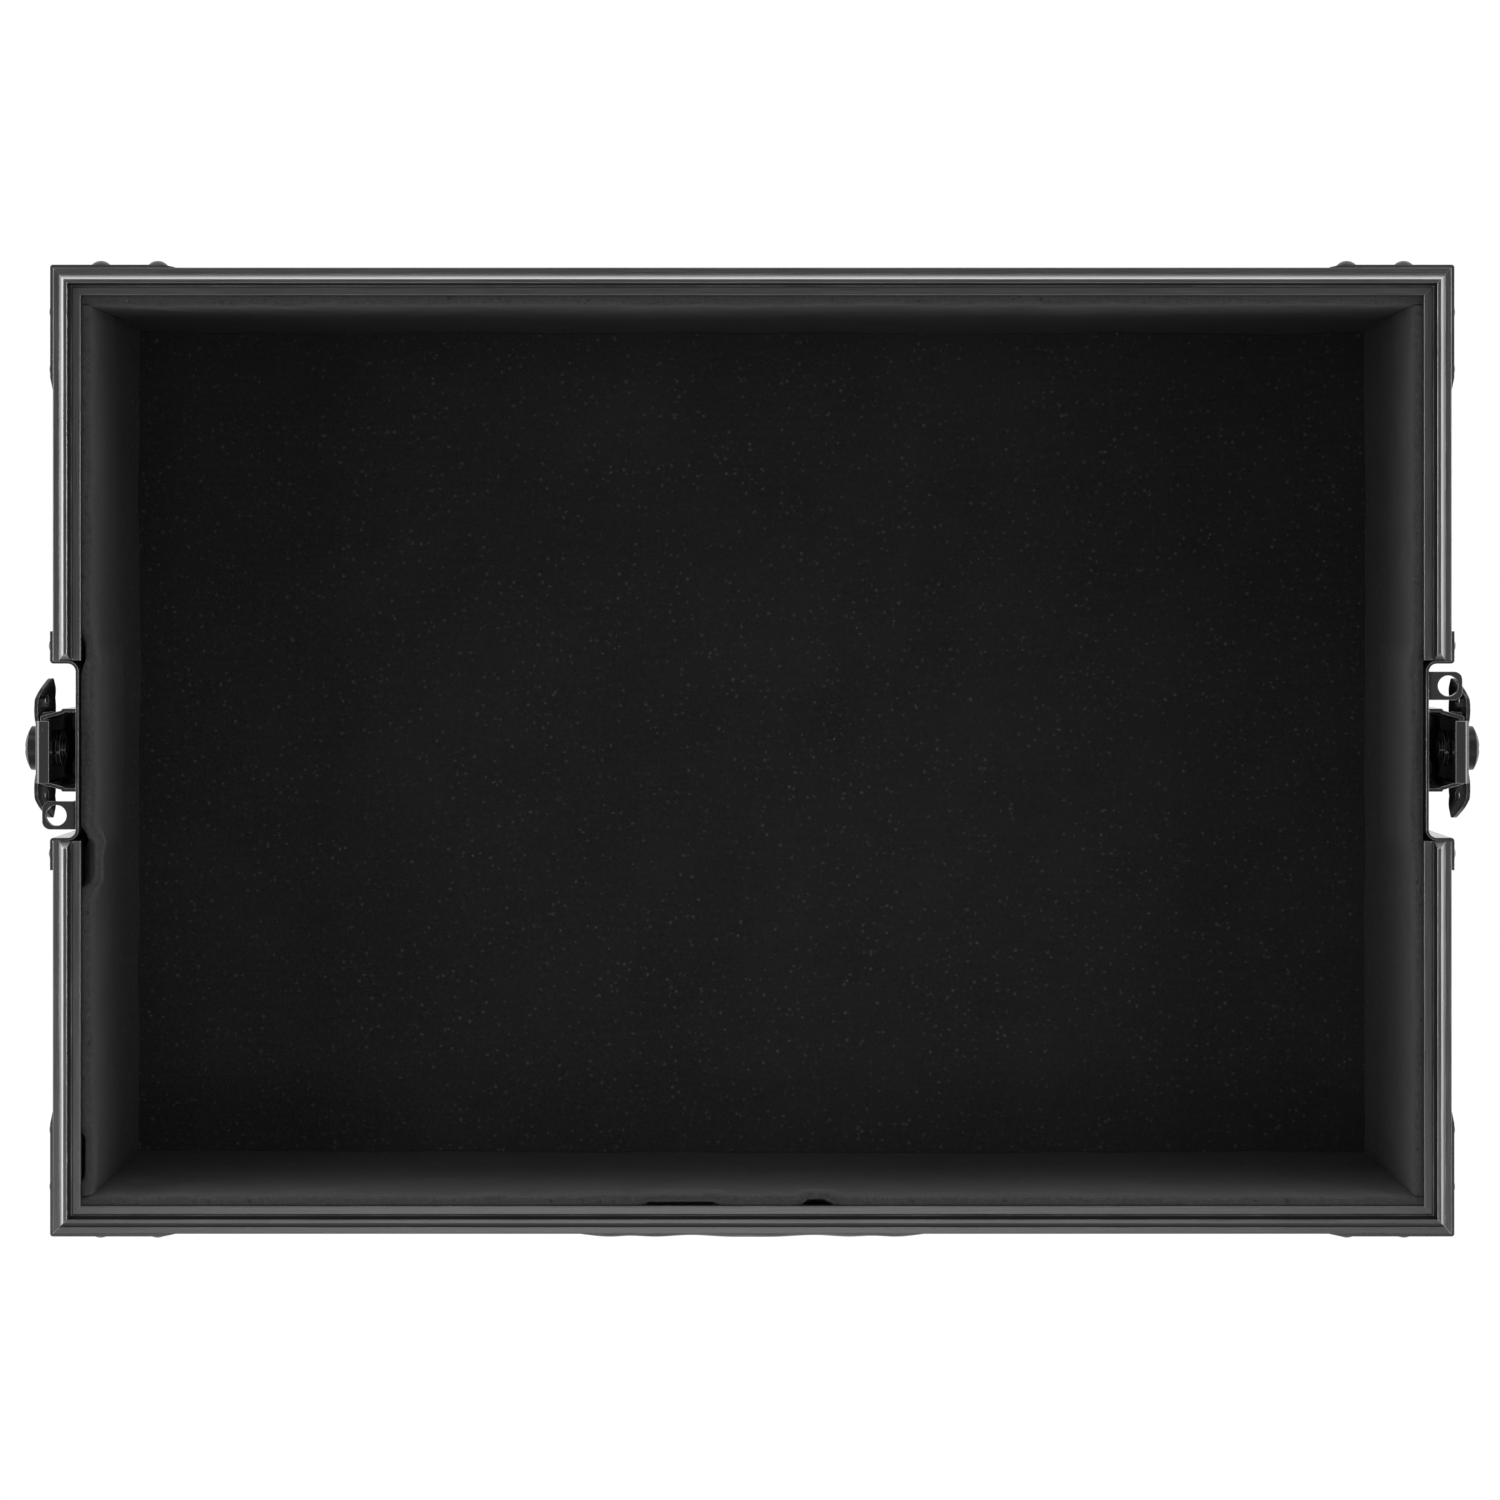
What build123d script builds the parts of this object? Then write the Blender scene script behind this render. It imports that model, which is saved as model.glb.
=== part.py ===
from build123d import *
import math
import os

# Open half of a flight case, seen with its rim up and standing on its feet.
# X runs along the long walls, +Y points to the back wall, +Z up, in millimetres.
# The origin is the middle of the whole part's footprint, on the surface that the feet stand on.

# Case body, with the length by which cutting tools run past what they cut
case_length = 611.0
case_depth = 422.0
inside_depth = 106.0
panel_t = 7.0
foam_t = 8.0
floor_foam_t = 8.0
foam_gap = 0.3
foam_round = 4.0
panel_fit = 0.1
cut_over = 1.0

# Rim extrusion, with the tongue that the lid's groove fits over
wall_t = 1.4
rim_w = 12.2
rim_outer_leg = 24.0
rim_inner_leg = 20.0
outer_land_w = 2.9
tongue_slope_w = 2.6
tongue_top_w = 1.6
tongue_back_w = 0.85
tongue_h = 4.0
tongue_bevel = 2.8
groove_w = 0.35
groove_d = 0.5
groove_side_w = 0.3
rim_web_t = 2.7
lip_t = 3.0
land_round = 0.5
tongue_round = 0.4

# Edge angles along the bottom and up the corners
angle_leg = 27.0
angle_round = 1.0

# Pressed corner braces round the rim
brace_t = 1.4
brace_leg = 53.0
brace_h = 34.5
brace_below_rim = 1.5
brace_taper = 5.0
brace_cut = 9.0
brace_round = 1.2
brace_edge_t = 0.35
brace_rivets_from_corner = (18.3, 43.4)
brace_rivet_drop = 14.0

# Ball corners at the bottom
ball_plate_t = 1.4
ball_leg = 42.0
ball_trim_r = 50.0
ball_r = 12.0
ball_inset = 6.0
ball_rivet_near = 14.0
ball_rivet_far = 32.0

# Rivets
rivet_r = 2.0
rivet_head_r = 5.0
rivet_head_h = 3.0
rivet_grip = 6.0
rivet_fit = 0.1
small_rivet_r = 1.5
small_rivet_head_r = 2.9
small_rivet_head_h = 1.2
small_rivet_tail_h = 1.0
rivet_tail_w = 0.75
long_edge_rivet_pitch = 90.0
short_edge_rivet_pitch = 110.0

# Rubber feet
foot_h = 12.0
foot_top_r = 16.0
foot_bottom_r = 13.0
foot_round = 1.5
foot_from_end = 66.0
foot_from_side = 60.0
foot_recess_r = 6.0
foot_recess_d = 7.0
screw_head_r = 5.0
screw_head_h = 3.0
screw_r = 2.2
screw_grip = 6.0
screw_round = 1.2
screw_slot_w = 1.0
screw_slot_d = 1.0
screw_slot_l = 6.0

# Latch dish
latch_cut_half = 39.5
dish_t = 1.2
dish_half = 39.2
dish_recess = 10.0
dish_drop = 60.0
dish_corner_r = 8.0
dish_floor_r = 3.5
dish_mouth_r = 1.6
dish_flange = 13.0
dish_flange_r = 6.0
dish_below_rim = 0.2
dish_gap = 0.3
dish_rivet_drops = (12.0, 46.0)
dish_low_rivet_spread = 18.0

# Latch housing, a raised cover that guides the claw
housing_t = 1.5
housing_half_top = 14.8
housing_half_waist = 17.4
housing_half_base = 18.2
housing_top_out = 6.4
housing_waist_out = -2.6
housing_step = 0.6
housing_top_drop = 5.0
housing_length = 40.0
housing_foot_w = 8.6
housing_foot_drop = 26.0
housing_rivet_drops = (31.0, 41.0)

# Claw with its hooked lip
claw_t = 1.7
claw_rise = 14.0
claw_travel = 10.0
claw_lip = 6.1
claw_lip_fall = 0.8
claw_bend_r = 2.4
claw_inner_r = 1.0
claw_tip_r = 0.5
claw_side_gap = 0.3
claw_face_gap = 0.2
claw_tail = 4.5

# Crank spindle
spindle_drop = 25.0
spindle_r = 3.0
spindle_fit = 0.05
crank_disc_r = 8.0
crank_disc_t = 2.0
crank_gap = 0.3
crank_pin_r = 2.0
crank_slack = 1.2
slot_gap = 0.3
boss_r = 3.7
boss_h = 1.5

# Butterfly key and its cap
key_t = 2.0
key_lift = 0.2
key_strap_h = 14.0
key_strap_half = 16.0
key_hub_r = 10.0
wing_t = 1.6
wing_root_r = 12.0
wing_root_at = 17.5
wing_tip_r = 4.5
wing_tip_at = 26.5
wing_clear = 0.4
wing_tilt = 6.4
wing_bend_at = 22.0
wing_bend = 16.0
wing_hole_r = 2.5
wing_hole_at = 21.0
cap_r = 9.8
cap_h = 5.9
cap_dome_h = 2.9
cap_slot_w = 2.2
cap_slot_d = 1.3

# Padlock tab
tab_t = 1.8
tab_w = 12.4
tab_at = 28.3
tab_out = 4.8
tab_below_rim = 1.0
tab_leg = 23.0
tab_round = 3.6
tab_bend_r = 2.2
tab_inner_r = 0.4
tab_hole_r = 4.5
tab_hole_out = -1.4
tab_rivet_drops = (11.0, 19.0)

# Carry handle on the front wall
pivot_drop = 52.0
pivot_out = 4.6
rod_r = 3.5
rod_bend_r = 6.5
rod_fit = 0.05
bail_drop = 28.0
bail_rest_gap = 0.35
grip_half = 84.5
grip_end_gap = 0.5
grip_half_t = 9.3
grip_half_h = 11.0
grip_waist = 0.8
grip_crown_half = 15.7
grip_side_crown = 45.0
grip_outer_waist_at = 57.0
grip_outer_waist = 0.5
grip_outer_crown = 65.0
grip_taper_at = 76.0
grip_taper_fall = 0.9
grip_end_in = 3.0
grip_crown_flat = 12.5
grip_crown_fall = 0.1
grip_end_fall = 1.9
grip_tip_fall = 3.6
bracket_t = 1.5
bracket_w = 18.0
bracket_h = 44.0
bracket_round = 6.0
knuckle_r = 5.0
knuckle_l = 9.0
knuckle_gap = 0.5
bracket_rivet_spread = 15.0

# Heights and half sizes that follow from the above
span = {"back": case_length, "front": case_length, "left": case_depth, "right": case_depth}
half = {
    "back": case_depth / 2,
    "front": case_depth / 2,
    "left": case_length / 2,
    "right": case_length / 2,
}
turn = {"back": 0, "left": 90, "front": 180, "right": -90}
floor_z = foot_h + panel_t
foam_z = floor_z + floor_foam_t
rim_z = foam_z + inside_depth
base_z = foot_h - wall_t
outer_leg_z = rim_z - rim_outer_leg
inner_leg_z = rim_z - rim_inner_leg
slot_top_z = rim_z - groove_d - rim_web_t
panel_top_z = slot_top_z - panel_fit
panel_in = wall_t + panel_t
foam_in = panel_in + foam_t
foam_top_z = rim_z - lip_t - foam_gap
dish_floor_in = dish_recess + dish_t
dish_top_z = rim_z - dish_below_rim
dish_low_z = rim_z - dish_drop
spindle_z = rim_z - spindle_drop
housing_top_z = rim_z - housing_top_drop
housing_low_z = housing_top_z - housing_length
housing_foot_top_z = rim_z - housing_foot_drop
plate_in = housing_top_out - housing_t
claw_out = plate_in - claw_face_gap
claw_in = claw_out - claw_t
crank_throw = claw_travel / 2
pin_z = spindle_z + crank_throw
disc_out = claw_in - crank_gap
strap_in = housing_top_out + key_lift
strap_out = strap_in + key_t
pivot_z = rim_z - pivot_drop
bail_half = grip_half + grip_end_gap + rod_bend_r
bail_end_half = bail_half + rod_bend_r + knuckle_gap + knuckle_l
grip_rest_out = bail_rest_gap - wall_t + grip_half_t
bail_tilt = math.degrees(math.asin((grip_rest_out - pivot_out) / bail_drop))
front_reach = max(grip_rest_out + grip_half_t, pivot_out + knuckle_r)
back_reach = brace_t + rivet_head_h
shell_y = (front_reach - back_reach) / 2
corners = [("front", "left", 180), ("front", "right", -90), ("back", "left", 90), ("back", "right", 0)]


# Helpers
def slab(x0, x1, y0, y1, z0, z1):
    middle = Pos((x0 + x1) / 2, (y0 + y1) / 2, (z0 + z1) / 2)
    return middle * Box(x1 - x0, y1 - y0, z1 - z0)


def on_side(side, shape):
    # A wall's own frame has x along the wall, y outwards from the rim's outer face, and z up.
    return Rot(0, 0, turn[side]) * Pos(0, half[side], 0) * shape


def at_corner(front_or_back, left_or_right, angle, shape):
    # A corner's own frame has its two outer faces at x = 0 and y = 0, with the case on their low side.
    x = half[left_or_right] if left_or_right == "right" else -half[left_or_right]
    y = half[front_or_back] if front_or_back == "back" else -half[front_or_back]
    return Pos(x, y, 0) * Rot(0, 0, angle) * shape


def prism_x(points, radii, x0, x1):
    # A closed outline in y and z, drawn along x.
    outline = make_face(FilletPolyline(*[(0, y, z) for y, z in points], radius=radii, close=True))
    return Pos(x0, 0, 0) * extrude(outline, amount=x1 - x0, dir=(1, 0, 0))


def prism_y(sketch, y0, y1):
    # A sketch in x and z, drawn along y.
    return Pos(0, y0, 0) * extrude(Rot(90, 0, 0) * sketch, amount=y1 - y0, dir=(0, 1, 0))


def rod_y(x, z, radius, y0, y1):
    return Pos(x, (y0 + y1) / 2, z) * Rot(90, 0, 0) * Cylinder(radius, y1 - y0)


def dome_arc(radius, base, height):
    # A spherical dome's outline, from its rim on the base up to its top on the axis.
    ball = (radius ** 2 + height ** 2) / (2 * height)
    angle = math.asin(radius / ball) / 2
    middle = (ball * math.sin(angle), base + height - ball + ball * math.cos(angle))
    return ThreePointArc((radius, base), middle, (0, base + height))


def dome_rivet(radius, head_r, head_h, grip, tail_h=0.0):
    # The head's underside lies at z = 0 and its shank runs down to a tail, where it has one.
    tail_r = radius + rivet_tail_w
    tail = [(0, -grip - tail_h), (tail_r, -grip - tail_h), (tail_r, -grip), (radius, -grip)]
    shank = tail if tail_h else [(0, -grip), (radius, -grip)]
    outline = make_face([
        Polyline(*shank, (radius, 0), (head_r, 0)),
        dome_arc(head_r, 0, head_h),
        Line((0, head_h), shank[0]),
    ])
    return revolve(Rot(90, 0, 0) * outline, Axis.Z)


def wall_rivet(x, out, z, rivet):
    return Pos(x, out, z) * Rot(-90, 0, 0) * rivet


def near(a, b):
    p, q = a.bounding_box(), b.bounding_box()
    gaps = [
        max(p.min.X, q.min.X) - min(p.max.X, q.max.X),
        max(p.min.Y, q.min.Y) - min(p.max.Y, q.max.Y),
        max(p.min.Z, q.min.Z) - min(p.max.Z, q.max.Z),
    ]
    return max(gaps) < 0


def drilled(shape, drills):
    cutters = [d for d in drills if near(shape, d)]
    return shape - cutters if cutters else shape


def save(name, shape):
    solids = (Pos(0, shell_y, 0) * shape).solids()
    piece = solids[0] if len(solids) == 1 else Compound(children=list(solids))
    export_step(piece, f"parts/{name}.step")
    print(name, len(solids))


# Places of the rivets through each wall, as x along the wall, z, and the face that the head sits on
def spread(pitch, length):
    room = length / 2 - ball_leg - rivet_head_r
    count = int(room // pitch)
    return [pitch * i for i in range(-count, count + 1)]


def brace_spots(side):
    edge = span[side] / 2
    return [
        (sign * (edge - a), rim_z - brace_rivet_drop, brace_t)
        for sign in (-1, 1)
        for a in brace_rivets_from_corner
    ]


def ball_spots(side):
    edge = span[side] / 2
    pairs = [(ball_rivet_near, ball_rivet_far), (ball_rivet_far, ball_rivet_near)]
    return [(sign * (edge - a), base_z + b, ball_plate_t) for sign in (-1, 1) for a, b in pairs]


def edge_pitch(side):
    return long_edge_rivet_pitch if side in ("front", "back") else short_edge_rivet_pitch


def edge_spots(side):
    upright_z = (base_z + ball_leg + rim_z - brace_below_rim - brace_h) / 2
    upright_x = span[side] / 2 - ball_rivet_near
    low = [(x, base_z + ball_rivet_near, 0) for x in spread(edge_pitch(side), span[side])]
    return low + [(-upright_x, upright_z, 0), (upright_x, upright_z, 0)]


def dish_spots():
    at_x = dish_half + dish_flange / 2
    high = [(s * at_x, rim_z - dish_rivet_drops[0], dish_t) for s in (-1, 1)]
    low = [(s * at_x, rim_z - dish_rivet_drops[1], dish_t - wall_t) for s in (-1, 1)]
    foot_z = dish_low_z - dish_flange / 2
    return high + low + [(s * dish_low_rivet_spread, foot_z, dish_t - wall_t) for s in (-1, 1)]


def bracket_middle():
    return bail_end_half - knuckle_l / 2


def bracket_spots():
    return [
        (s * bracket_middle(), pivot_z + t * bracket_rivet_spread, bracket_t - wall_t)
        for s in (-1, 1)
        for t in (-1, 1)
    ]


def bottom_spots():
    # Rivets up through the bottom face, as x, y and the depth of the head's seat below the angle.
    found = []
    for sx in (-1, 1):
        for sy in (-1, 1):
            for a, b in ((ball_rivet_near, ball_rivet_far), (ball_rivet_far, ball_rivet_near)):
                found.append((sx * (case_length / 2 - a), sy * (case_depth / 2 - b), ball_plate_t))
    return found


def bottom_edge_spots():
    found = []
    for s in (-1, 1):
        y = s * (case_depth / 2 - ball_rivet_near)
        found += [(x, y, 0) for x in spread(long_edge_rivet_pitch, case_length)]
        x = s * (case_length / 2 - ball_rivet_near)
        found += [(x, y, 0) for y in spread(short_edge_rivet_pitch, case_depth)]
    return found


def foot_spots():
    x = case_length / 2 - foot_from_end
    y = case_depth / 2 - foot_from_side
    return [(sx * x, sy * y) for sx in (-1, 1) for sy in (-1, 1)]


def wall_rivets(side, spots):
    made = []
    for x, z, out in spots:
        rivet = dome_rivet(rivet_r, rivet_head_r, rivet_head_h, out + wall_t + rivet_grip)
        made.append(on_side(side, wall_rivet(x, out, z, rivet)))
    return made


def base_rivets(spots):
    made = []
    for x, y, below in spots:
        rivet = dome_rivet(rivet_r, rivet_head_r, rivet_head_h, below + wall_t + rivet_grip)
        made.append(Pos(x, y, base_z - below) * Rot(180, 0, 0) * rivet)
    return made


def wall_drills():
    drills = []
    for side in turn:
        spots = brace_spots(side) + ball_spots(side) + edge_spots(side)
        spots += dish_spots() if side in ("left", "right") else []
        spots += bracket_spots() if side == "front" else []
        depth = -wall_t - rivet_grip - rivet_fit
        for x, z, out in spots:
            drills.append(on_side(side, rod_y(x, z, rivet_r + rivet_fit, depth, out + 0.5)))
    return drills


def base_drills():
    drills = []
    top = foot_h + rivet_grip + rivet_fit
    for x, y, below in bottom_spots() + bottom_edge_spots():
        bottom = base_z - below - 0.5
        drills.append(Pos(x, y, (top + bottom) / 2) * Cylinder(rivet_r + rivet_fit, top - bottom))
    for x, y in foot_spots():
        depth = screw_grip + rivet_fit
        drills.append(Pos(x, y, foot_h + depth / 2) * Cylinder(screw_r + rivet_fit, depth))
    return drills


# Boards
def bottom_panel():
    x = case_length / 2 - wall_t
    y = case_depth / 2 - wall_t
    return slab(-x, x, -y, y, foot_h, floor_z)


def long_panel():
    x = case_length / 2 - wall_t
    return slab(-x, x, -panel_in, -wall_t, floor_z, panel_top_z)


def short_panel():
    x = case_depth / 2 - panel_in
    board = slab(-x, x, -panel_in, -wall_t, floor_z, panel_top_z)
    notch = dish_half + dish_gap
    return board - slab(-notch, notch, -panel_in - 1, 1, dish_low_z - dish_gap, rim_z)


# Edge extrusions
def mitred(shape, length):
    # Cuts both ends at 45 degrees, so that neighbouring sides meet on the corner's diagonal.
    reach = 60.0
    proud = 5.0
    wedge = Polyline(
        (-length / 2 - proud, proud),
        (length / 2 + proud, proud),
        (length / 2 - reach, -reach),
        (-length / 2 + reach, -reach),
        close=True,
    )
    return shape & extrude(make_face(wedge), amount=rim_z + tongue_h + proud, dir=(0, 0, 1))


def rim_side(side):
    slope_in = outer_land_w + tongue_slope_w
    back_in = slope_in + tongue_top_w + tongue_back_w
    groove_in = back_in + groove_w
    leg_in = panel_in + wall_t
    points = [
        (0, outer_leg_z),
        (0, rim_z),
        (-outer_land_w, rim_z),
        (-slope_in, rim_z + tongue_h),
        (-slope_in - tongue_top_w, rim_z + tongue_h),
        (-back_in, rim_z - groove_d),
        (-groove_in, rim_z - groove_d),
        (-groove_in - groove_side_w, rim_z),
        (-rim_w, rim_z),
        (-rim_w, rim_z - lip_t),
        (-leg_in, rim_z - lip_t),
        (-leg_in, inner_leg_z),
        (-panel_in, inner_leg_z),
        (-panel_in, slot_top_z),
        (-wall_t, slot_top_z),
        (-wall_t, outer_leg_z),
    ]
    radii = [0, land_round, 0, tongue_round, tongue_round, 0, 0, land_round, land_round]
    radii += [0] * (len(points) - len(radii))
    length = span[side]
    return mitred(prism_x(points, radii, -length / 2, length / 2), length)


def rim_half(sign):
    # The part of a short side's rim beyond the latch, with its tongue bevelled at the cut.
    whole = rim_side("left")
    end = case_depth / 2 + 1
    kept = slab(latch_cut_half, end, -rim_w - 1, 1, outer_leg_z - 1, rim_z + tongue_h + 1)
    over = tongue_h + 1
    wedge = make_face(Polyline(
        (latch_cut_half - 1, rim_z),
        (latch_cut_half, rim_z),
        (latch_cut_half + tongue_bevel * over / tongue_h, rim_z + over),
        (latch_cut_half - 1, rim_z + over),
        close=True,
    ))
    piece = (whole & kept) - prism_y(wedge, -rim_w, 0)
    return piece if sign > 0 else mirror(piece, about=Plane.YZ)


def bottom_angle(side):
    length = span[side]
    top = base_z + angle_leg
    points = [
        (0, base_z),
        (0, top),
        (-wall_t, top),
        (-wall_t, foot_h),
        (-angle_leg, foot_h),
        (-angle_leg, base_z),
    ]
    return mitred(prism_x(points, [angle_round, 0, 0, 0, 0, 0], -length / 2, length / 2), length)


def corner_angle():
    bottom = base_z + angle_leg
    tall = outer_leg_z - bottom
    solid = slab(-angle_leg, 0, -angle_leg, 0, bottom, outer_leg_z)
    inner = slab(-angle_leg - 1, -wall_t, -angle_leg - 1, -wall_t, bottom - 1, outer_leg_z + 1)
    edge = (solid - inner).edges().filter_by(lambda e: e.length > tall - 0.1)
    outer = [e for e in edge if abs(e.center().X) < 0.01 and abs(e.center().Y) < 0.01]
    return fillet(outer, angle_round)


# Pressed corners
def rim_brace():
    top = rim_z - brace_below_rim
    low = top - brace_h
    plate = slab(-brace_leg, brace_t, -brace_leg, brace_t, low, top)
    plate -= slab(-brace_leg - 1, 0, -brace_leg - 1, 0, low - 1, top + 1)
    edge = [
        e for e in plate.edges()
        if abs(e.center().X - brace_t) < 0.01 and abs(e.center().Y - brace_t) < 0.01
    ]
    plate = fillet(edge, brace_round)
    cut = make_face(Polyline(
        (-brace_leg - 1, low - 1),
        (-brace_leg + brace_cut, low - 1),
        (-brace_leg - 1, low + brace_cut),
        close=True,
    ))
    thin = make_face(Polyline(
        (-brace_leg - 1, brace_edge_t),
        (-brace_leg, brace_edge_t),
        (-brace_leg + brace_taper, brace_t),
        (-brace_leg + brace_taper, brace_t + 1),
        (-brace_leg - 1, brace_t + 1),
        close=True,
    ))
    low_trim = prism_y(cut, -1, brace_t + 1)
    thin_trim = extrude(Pos(0, 0, low - 1) * thin, amount=brace_h + 2, dir=(0, 0, 1))
    for trim in (low_trim, thin_trim):
        plate -= trim
        plate -= mirror(trim, about=Plane((0, 0, 0), z_dir=(1, -1, 0)))
    return plate


def ball_corner():
    # Three plates wrap the corner, and a hollow ball stands out over it.
    z = base_z
    plates = slab(-ball_leg, ball_plate_t, -ball_leg, ball_plate_t, z - ball_plate_t, z + ball_leg)
    case = slab(-ball_leg - 1, 0, -ball_leg - 1, 0, z, z + ball_leg + 1)
    plates = plates - case
    plates &= Pos(0, 0, z) * Sphere(ball_trim_r)
    middle = Pos(-ball_inset, -ball_inset, z + ball_inset)
    hollow = middle * Sphere(ball_r - ball_plate_t)
    ball = middle * Sphere(ball_r) - hollow - case
    return (plates - hollow) + ball


# Feet
def foot():
    outline = Polyline(
        (0, foot_recess_d),
        (foot_recess_r, foot_recess_d),
        (foot_recess_r, 0),
        (foot_bottom_r, 0),
        (foot_top_r, foot_h),
        (0, foot_h),
        close=True,
    )
    body = revolve(Rot(90, 0, 0) * make_face(outline), Axis.Z)
    rims = body.edges().filter_by(GeomType.CIRCLE)
    lowest = [e for e in rims if abs(e.center().Z) < 0.01 and e.radius > foot_recess_r + 0.1]
    body = fillet(lowest, foot_round)
    return body - Pos(0, 0, foot_h) * Cylinder(screw_r + rivet_fit, foot_h * 2)


def foot_screw():
    head = Pos(0, 0, foot_recess_d - screw_head_h / 2) * Cylinder(screw_head_r, screw_head_h)
    middle = foot_recess_d - screw_head_h / 2
    low = [e for e in head.edges().filter_by(GeomType.CIRCLE) if e.center().Z < middle]
    head = fillet(low, screw_round)
    slot = Pos(0, 0, foot_recess_d - screw_head_h) * Box(screw_slot_l, screw_slot_w, 2 * screw_slot_d)
    cross = Rot(0, 0, 90) * slot
    length = foot_h - foot_recess_d + screw_grip
    shank = Pos(0, 0, foot_recess_d + length / 2) * Cylinder(screw_r, length)
    return head - slot - cross + shank


# Lining
def lining_space():
    low_x = case_length / 2 - panel_in
    low_y = case_depth / 2 - panel_in
    step = inner_leg_z - foam_gap
    slim_x = low_x - wall_t - foam_gap
    slim_y = low_y - wall_t - foam_gap
    wide = slab(-low_x, low_x, -low_y, low_y, foot_h, step)
    return wide + slab(-slim_x, slim_x, -slim_y, slim_y, step, foam_top_z)


def wall_foam(side):
    x = span[side] / 2 - (panel_in if side in ("front", "back") else foam_in)
    sheet = slab(-x, x, -foam_in, -panel_in, foam_z, foam_top_z)
    top = [
        e for e in sheet.edges()
        if abs(e.center().Y + foam_in) < 0.01 and abs(e.center().Z - foam_top_z) < 0.01
    ]
    sheet = fillet(top, foam_round)
    if side in ("left", "right"):
        pocket = dish_half + dish_gap
        back = dish_floor_in + small_rivet_tail_h + foam_gap
        sheet -= slab(-pocket, pocket, -back, 0, dish_low_z - dish_gap, rim_z)
    return on_side(side, sheet) & lining_space()


def floor_foam():
    x = case_length / 2 - panel_in
    y = case_depth / 2 - panel_in
    return slab(-x, x, -y, y, floor_z, foam_z)


# Latch, in a short wall's own frame
def pan_block(inset, floor_in, out, bottom_inset):
    # A block with the pan's outline, rounded at its low corners and along its floor.
    wide = dish_half - inset
    low = dish_low_z + bottom_inset
    high = rim_z + dish_drop
    block = slab(-wide, wide, -floor_in, out, low, high)
    low_edges = [
        e for e in block.edges()
        if abs(abs(e.center().X) - wide) < 0.01 and abs(e.center().Z - low) < 0.01
    ]
    block = fillet(low_edges, dish_corner_r - inset)
    floor_edges = [
        e for e in block.edges()
        if abs(e.center().Y + floor_in) < 0.01 and e.center().Z < high - 0.01
    ]
    return fillet(floor_edges, dish_floor_r + dish_t - inset)


def dish():
    wide = dish_half + dish_flange
    joggle_z = outer_leg_z - dish_t - dish_gap
    upper = slab(-wide, wide, 0, dish_t, joggle_z, rim_z)
    joggle = slab(-wide, wide, -wall_t, dish_t, joggle_z, joggle_z + dish_t)
    lower = slab(-wide, wide, -wall_t, dish_t - wall_t, dish_low_z - dish_flange, joggle_z + dish_t)
    ends = [
        e for e in lower.edges()
        if abs(abs(e.center().X) - wide) < 0.01 and abs(e.center().Z - dish_low_z + dish_flange) < 0.01
    ]
    flange = upper + joggle + fillet(ends, dish_flange_r)
    pan = flange + pan_block(0, dish_floor_in, dish_t - wall_t, 0)
    pan += slab(-dish_half, dish_half, -wall_t, dish_t, joggle_z, rim_z)
    pan -= pan_block(dish_t, dish_recess, dish_t + 1, dish_t)
    pan -= slab(-wide, wide, -dish_floor_in - 1, dish_t + 1, dish_top_z, rim_z + dish_drop + 1)
    mouth = dish_half - dish_t
    for s in (-1, 1):
        centre = Pos(s * (mouth + dish_mouth_r), dish_t - dish_mouth_r, (joggle_z + dish_top_z) / 2)
        tall = dish_top_z - joggle_z + 1
        corner = slab(0, dish_mouth_r, 0, dish_mouth_r, -tall / 2, tall / 2)
        corner = corner if s < 0 else mirror(corner, about=Plane.YZ)
        pan -= centre * (corner - Cylinder(dish_mouth_r, tall))
    reach = rivet_r + rivet_fit
    flange_drills = [rod_y(x, z, reach, -dish_recess, dish_recess) for x, z, _ in dish_spots()]
    return drilled(pan, latch_drills() + flange_drills)


def latch_spots():
    # Rivets that hold the housing's feet and the padlock tab to the pan, as x, z and the head's seat.
    foot_x = housing_half_base + housing_foot_w / 2
    feet = [(s * foot_x, rim_z - d, housing_t) for s in (-1, 1) for d in housing_rivet_drops]
    return feet + [(-tab_at, rim_z - d, tab_t) for d in tab_rivet_drops]


def latch_drills():
    reach = small_rivet_r + rivet_fit
    depth = (-dish_floor_in - cut_over, -dish_recess + 3 * cut_over)
    return [rod_y(x, z, reach, *depth) for x, z, _ in latch_spots()]


def housing_rivets():
    made = []
    for x, z, over in latch_spots():
        grip = over + dish_t
        head = (small_rivet_head_r, small_rivet_head_h)
        rivet = dome_rivet(small_rivet_r, *head, grip, small_rivet_tail_h)
        made.append(wall_rivet(x, over - dish_recess, z, rivet))
    return made


def housing_outline(base):
    # The cover's cross section, from the base up to its top plate.
    right = [
        (housing_half_base, base),
        (housing_half_base, housing_waist_out - housing_step),
        (housing_half_waist, housing_waist_out),
        (housing_half_top, housing_top_out),
    ]
    return make_face(Polyline(*right, *[(-x, y) for x, y in reversed(right)], close=True))


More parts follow.
